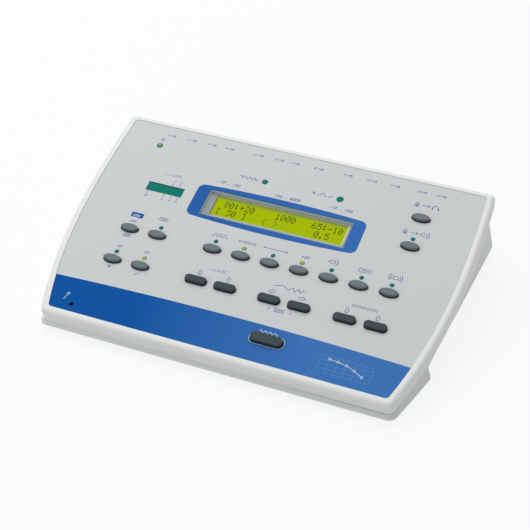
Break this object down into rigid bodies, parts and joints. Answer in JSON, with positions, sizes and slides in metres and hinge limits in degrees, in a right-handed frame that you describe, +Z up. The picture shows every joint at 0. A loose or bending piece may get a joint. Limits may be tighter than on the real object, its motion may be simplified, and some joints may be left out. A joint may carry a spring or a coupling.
{
  "type": "audiometer",
  "caption": "Desk-top hearing-test instrument: sloping keypad panel with a character display, level meter and indicator lamps in a wedge-shaped two-part case, with a row of rear sockets.",
  "frame": {"origin": "on the table, under the middle of the instrument's bounding box", "axes": "+Z up from the table, the operator sits at -Y, the sockets face +Y, +X to the operator's right"},
  "size_m": [0.27, 0.193, 0.0591],
  "materials": {
    "case_plastic": "fine satin texture, off-white",
    "overlay_film": "printed matt film, pale grey with a blue band",
    "function_key": "smooth satin, mid grey",
    "level_key": "smooth satin, dark grey",
    "present_key": "smooth satin, dark grey",
    "display_bezel": "satin grey",
    "display_glass": "yellow-green liquid-crystal cell, semi-gloss",
    "light_guide": "frosted",
    "meter_lens": "dark teal filter",
    "lamp_lens": "diffused teal, lit ones yellow-green",
    "circuit_board": "green solder mask",
    "chip_plastic": "moulded black",
    "header_plastic": "moulded black",
    "cable_film": "ribbed grey film",
    "switch_plastic": "moulded black",
    "capsule_metal": "drawn can",
    "screw_steel": "zinc plated",
    "rear_panel": "fine satin texture",
    "nickel": "satin nickel plate",
    "socket_black": "semi-gloss black",
    "foot_rubber": "matt black"
  },
  "bodies": {
    "case": {"top_cover": "case_plastic", "base_shell": "case_plastic", "front_overlay": "overlay_film", "case_screws": "screw_steel", "display_frame": "display_bezel", "display_glass": "display_glass", "display_backlight": "light_guide", "display_board": "circuit_board", "display_screws": "screw_steel", "level_meter": "meter_lens", "key_lamps": "lamp_lens", "status_lamps": "lamp_lens", "microphone_capsule": "capsule_metal", "key_board": "circuit_board", "key_board_screws": "screw_steel", "tact_switches": "switch_plastic", "main_board": "circuit_board", "main_board_screws": "screw_steel", "board_components": "chip_plastic", "cable_headers": "header_plastic", "flat_cable": "cable_film", "connector_panel": "rear_panel", "jack_nuts": "nickel", "usb_socket": "nickel", "data_socket": "socket_black", "power_socket": "socket_black", "response_jack": "socket_black", "left_phone_jack": "socket_black", "right_phone_jack": "socket_black", "insert_phone_jack": "socket_black", "bone_vibrator_jack": "socket_black", "line_out_jack": "socket_black", "line_in_jack": "socket_black", "second_microphone_jack": "socket_black", "monitor_headset_jack": "socket_black", "first_microphone_jack": "socket_black", "rubber_foot_front_left": "foot_rubber", "rubber_foot_front_right": "foot_rubber", "rubber_foot_rear_left": "foot_rubber", "rubber_foot_rear_right": "foot_rubber"},
    "key_on_off": {"key_on_off": "function_key"},
    "key_test_menu": {"key_test_menu": "function_key"},
    "key_left_ear": {"key_left_ear": "function_key"},
    "key_right_ear": {"key_right_ear": "function_key"},
    "key_pulse": {"key_pulse": "function_key"},
    "key_mask": {"key_mask": "function_key"},
    "key_constant": {"key_constant": "function_key"},
    "key_boost": {"key_boost": "function_key"},
    "key_free_field": {"key_free_field": "function_key"},
    "key_speech": {"key_speech": "function_key"},
    "key_bone": {"key_bone": "function_key"},
    "key_talkback": {"key_talkback": "function_key"},
    "key_talkover": {"key_talkover": "function_key"},
    "key_signal_down": {"key_signal_down": "level_key"},
    "key_signal_up": {"key_signal_up": "level_key"},
    "key_frequency_down": {"key_frequency_down": "level_key"},
    "key_frequency_up": {"key_frequency_up": "level_key"},
    "key_masking_down": {"key_masking_down": "level_key"},
    "key_masking_up": {"key_masking_up": "level_key"},
    "key_present": {"key_present": "present_key"}
  },
  "joints": [
    {"name": "on_off_press", "type": "slide", "parent": "case", "child": "key_on_off", "axis": [0, 0.2419, -0.9703], "range_m": [0, 0.001], "stiffness_N_per_m": 300, "springref_m": -0.002},
    {"name": "test_menu_press", "type": "slide", "parent": "case", "child": "key_test_menu", "axis": [0, 0.2419, -0.9703], "range_m": [0, 0.001], "stiffness_N_per_m": 300, "springref_m": -0.002},
    {"name": "left_ear_press", "type": "slide", "parent": "case", "child": "key_left_ear", "axis": [0, 0.2419, -0.9703], "range_m": [0, 0.001], "stiffness_N_per_m": 300, "springref_m": -0.002},
    {"name": "right_ear_press", "type": "slide", "parent": "case", "child": "key_right_ear", "axis": [0, 0.2419, -0.9703], "range_m": [0, 0.001], "stiffness_N_per_m": 300, "springref_m": -0.002},
    {"name": "pulse_press", "type": "slide", "parent": "case", "child": "key_pulse", "axis": [0, 0.2419, -0.9703], "range_m": [0, 0.001], "stiffness_N_per_m": 300, "springref_m": -0.002},
    {"name": "mask_press", "type": "slide", "parent": "case", "child": "key_mask", "axis": [0, 0.2419, -0.9703], "range_m": [0, 0.001], "stiffness_N_per_m": 300, "springref_m": -0.002},
    {"name": "constant_press", "type": "slide", "parent": "case", "child": "key_constant", "axis": [0, 0.2419, -0.9703], "range_m": [0, 0.001], "stiffness_N_per_m": 300, "springref_m": -0.002},
    {"name": "boost_press", "type": "slide", "parent": "case", "child": "key_boost", "axis": [0, 0.2419, -0.9703], "range_m": [0, 0.001], "stiffness_N_per_m": 300, "springref_m": -0.002},
    {"name": "free_field_press", "type": "slide", "parent": "case", "child": "key_free_field", "axis": [0, 0.2419, -0.9703], "range_m": [0, 0.001], "stiffness_N_per_m": 300, "springref_m": -0.002},
    {"name": "speech_press", "type": "slide", "parent": "case", "child": "key_speech", "axis": [0, 0.2419, -0.9703], "range_m": [0, 0.001], "stiffness_N_per_m": 300, "springref_m": -0.002},
    {"name": "bone_press", "type": "slide", "parent": "case", "child": "key_bone", "axis": [0, 0.2419, -0.9703], "range_m": [0, 0.001], "stiffness_N_per_m": 300, "springref_m": -0.002},
    {"name": "talkback_press", "type": "slide", "parent": "case", "child": "key_talkback", "axis": [0, 0.2419, -0.9703], "range_m": [0, 0.001], "stiffness_N_per_m": 300, "springref_m": -0.002},
    {"name": "talkover_press", "type": "slide", "parent": "case", "child": "key_talkover", "axis": [0, 0.2419, -0.9703], "range_m": [0, 0.001], "stiffness_N_per_m": 300, "springref_m": -0.002},
    {"name": "signal_down_press", "type": "slide", "parent": "case", "child": "key_signal_down", "axis": [0, 0.2419, -0.9703], "range_m": [0, 0.001], "stiffness_N_per_m": 300, "springref_m": -0.002},
    {"name": "signal_up_press", "type": "slide", "parent": "case", "child": "key_signal_up", "axis": [0, 0.2419, -0.9703], "range_m": [0, 0.001], "stiffness_N_per_m": 300, "springref_m": -0.002},
    {"name": "frequency_down_press", "type": "slide", "parent": "case", "child": "key_frequency_down", "axis": [0, 0.2419, -0.9703], "range_m": [0, 0.001], "stiffness_N_per_m": 300, "springref_m": -0.002},
    {"name": "frequency_up_press", "type": "slide", "parent": "case", "child": "key_frequency_up", "axis": [0, 0.2419, -0.9703], "range_m": [0, 0.001], "stiffness_N_per_m": 300, "springref_m": -0.002},
    {"name": "masking_down_press", "type": "slide", "parent": "case", "child": "key_masking_down", "axis": [0, 0.2419, -0.9703], "range_m": [0, 0.001], "stiffness_N_per_m": 300, "springref_m": -0.002},
    {"name": "masking_up_press", "type": "slide", "parent": "case", "child": "key_masking_up", "axis": [0, 0.2419, -0.9703], "range_m": [0, 0.001], "stiffness_N_per_m": 300, "springref_m": -0.002},
    {"name": "present_press", "type": "slide", "parent": "case", "child": "key_present", "axis": [0, 0.2419, -0.9703], "range_m": [0, 0.001], "stiffness_N_per_m": 300, "springref_m": -0.002}
  ]
}
